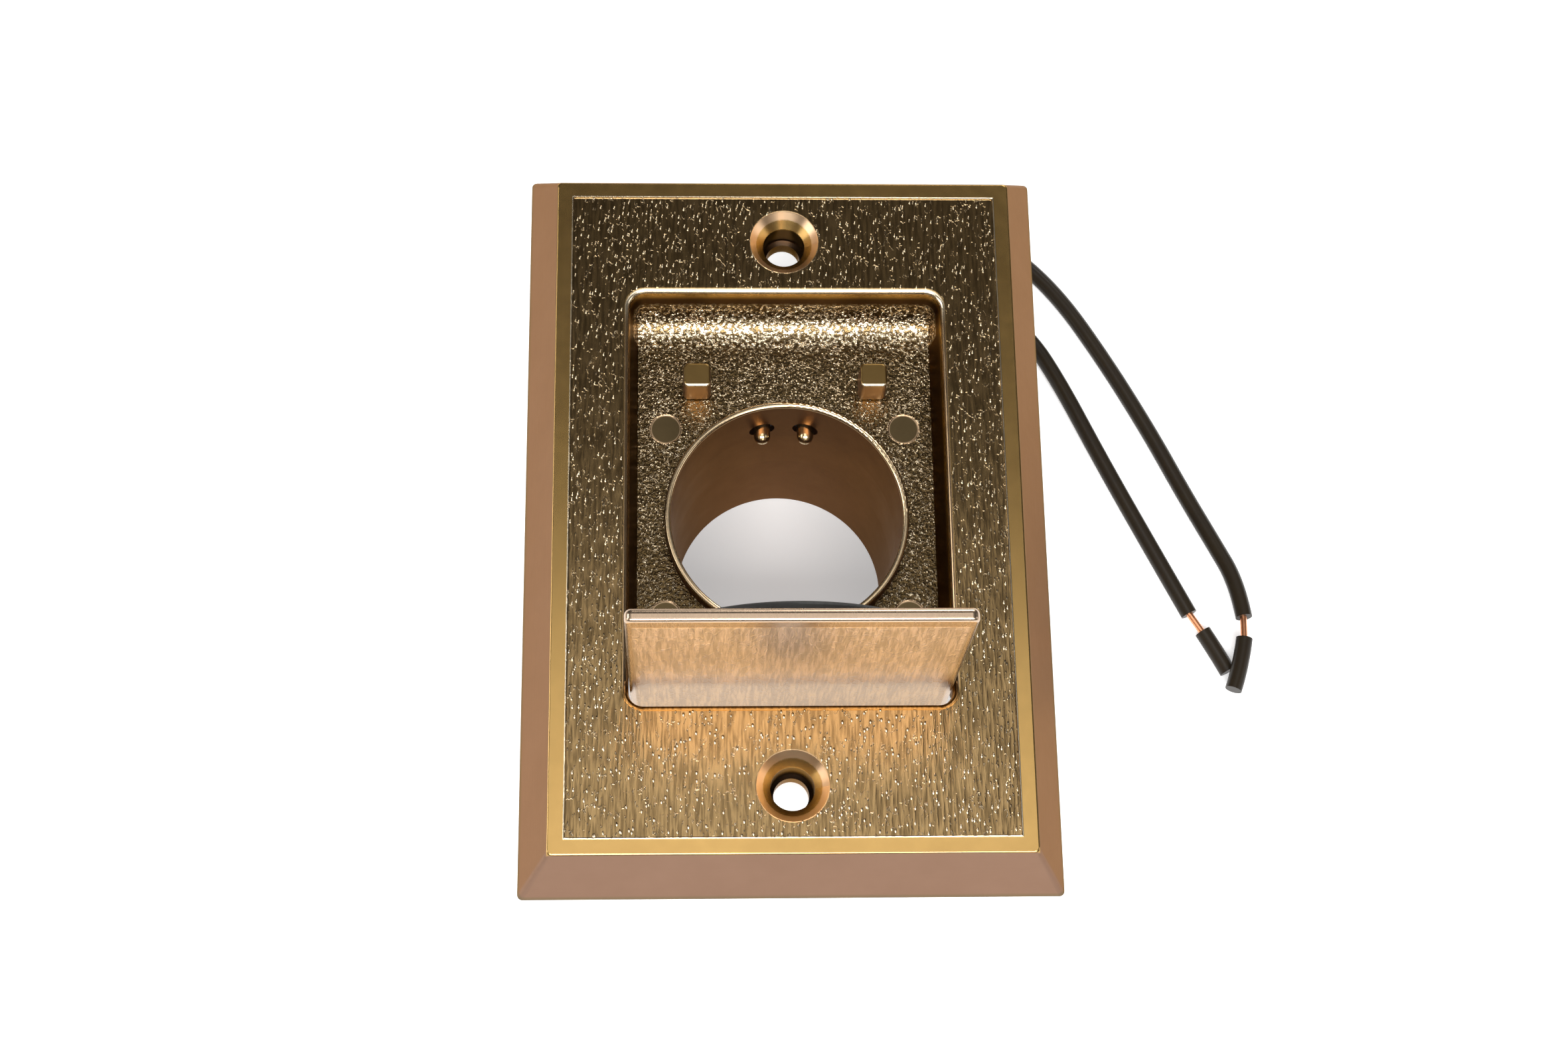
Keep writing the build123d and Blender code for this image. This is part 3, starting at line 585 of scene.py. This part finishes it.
def metal(name, light, dark, roughness, scale=600.0, scratches=0.000006):
    """Plain metal with slight stains and fine scratches."""
    s = Shader(name, Metallic=1.0)
    patches = s.noise(scale, 3.0, 0.6)
    s.set("Base Color", s.blend(patches, light, dark))
    s.set("Roughness", s.calc("ADD", s.calc("MULTIPLY", patches, 0.15), roughness))
    s.set("Normal", s.bump(s.noise(3.0 * scale, 2.0, 0.6), scratches))
    return s.material


def moulded(name, light, dark, roughness, scale, depth, specular=0.5):
    """Plastic or rubber with a fine moulded grain."""
    s = Shader(name, Specular_IOR_Level=specular)
    patches = s.noise(0.25 * scale, 3.0, 0.6)
    s.set("Base Color", s.blend(patches, light, dark))
    s.set("Roughness", s.calc("ADD", s.calc("MULTIPLY", patches, 0.14), roughness))
    s.set("Normal", s.bump(s.noise(scale, 3.0, 0.6), depth))
    return s.material


give(plate_material(), nodes["cover_plate"])
give(door_material(), nodes["door"])
give(tube_material(), nodes["inlet_tube"])
steel = metal("zinc_plated_steel", (0.66, 0.65, 0.61), (0.50, 0.49, 0.45), 0.24)
spring_steel = metal("spring_wire", (0.52, 0.51, 0.49), (0.36, 0.35, 0.33), 0.28, 900.0)
brass = metal("terminal_brass", (0.80, 0.62, 0.32), (0.62, 0.46, 0.22), 0.24)
pin_brass = metal("pin_brass", (0.86, 0.68, 0.40), (0.74, 0.56, 0.30), 0.14, 700.0, 0.000003)
copper = metal("bare_copper", (0.90, 0.42, 0.22), (0.80, 0.34, 0.17), 0.26, 1500.0)
rubber = moulded("gasket_rubber", (0.030, 0.029, 0.026), (0.018, 0.017, 0.015), 0.50, 2600.0, 0.00002)
black_plastic = moulded("black_plastic", (0.030, 0.030, 0.030), (0.018, 0.018, 0.018), 0.40, 1800.0, 0.000015)
insulation = moulded(
    "wire_insulation", (0.022, 0.016, 0.009), (0.013, 0.009, 0.006), 0.26, 1200.0, 0.000008, 0.22,
)
give(steel, *(nodes[n] for n in (
    "gasket_retainer", "gasket_screw", "hinge_pin", "pin_clips", "cover_screw", "block_screws",
)))
give(brass, nodes["terminal_left"], nodes["terminal_right"])
give(pin_brass, nodes["contact_pin_left"], nodes["contact_pin_right"])
give(rubber, nodes["door_gasket"], nodes["spigot_seal"])
give(black_plastic, *(nodes[n] for n in (
    "contact_block", "contact_cover", "contact_sleeve_left", "contact_sleeve_right",
)))
give(spring_steel, *springs)
give(insulation, *leads)
give(copper, *conductors)

# ---- Floor and light -------------------------------------------------------------------------
FLOOR_GAP = 0.00005


def add_floor():
    """A plain pale table under the tube's rear end."""
    bpy.ops.mesh.primitive_plane_add(size=8, location=(0, 0, TABLE * MM - FLOOR_GAP))
    floor = bpy.context.object
    floor.name = "table"
    s = Shader("pale_table", Roughness=0.8, Specular_IOR_Level=0.1, Emission_Strength=0.35)
    s.bsdf.inputs["Emission Color"].default_value = (1.0, 1.0, 1.0, 1.0)
    s.set("Base Color", s.blend(s.noise(3.0), (0.93, 0.93, 0.93), (0.90, 0.90, 0.90)))
    give(s.material, floor)


def add_light(name, place, size, power):
    """A rectangular soft white light at place, turned to the bore's mouth."""
    data = bpy.data.lights.new(name, "AREA")
    data.shape = "RECTANGLE"
    data.size, data.size_y = size
    data.energy = power
    light = bpy.data.objects.new(name, data)
    bpy.context.scene.collection.objects.link(light)
    away = Vector(place)
    light.matrix_world = Matrix.Translation(place) @ away.to_track_quat("Z", "Y").to_matrix().to_4x4()


def add_world(colour, strength):
    """Even light from all round."""
    world = bpy.data.worlds.new("world")
    bpy.context.scene.world = world
    world.use_nodes = True
    background = world.node_tree.nodes["Background"]
    background.inputs["Color"].default_value = (*colour, 1.0)
    background.inputs["Strength"].default_value = strength


add_floor()
add_world((1.0, 0.97, 0.93), 0.085)
add_light("overhead", (0.0, -0.62, 0.92), (0.90, 0.52), 20.0)
add_light("top", (0.0, 0.09, 1.05), (0.60, 0.40), 1.5)
add_light("back", (0.25, 0.88, 0.52), (0.40, 0.40), 4.0)
add_light("side", (-0.85, 0.15, 0.60), (0.40, 0.40), 3.0)
add_light("left", (-0.95, -0.2, 0.40), (0.5, 0.5), 2.0)
add_light("right", (0.95, -0.1, 0.40), (0.5, 0.5), 1.2)
bpy.context.scene.view_settings.view_transform = "Standard"
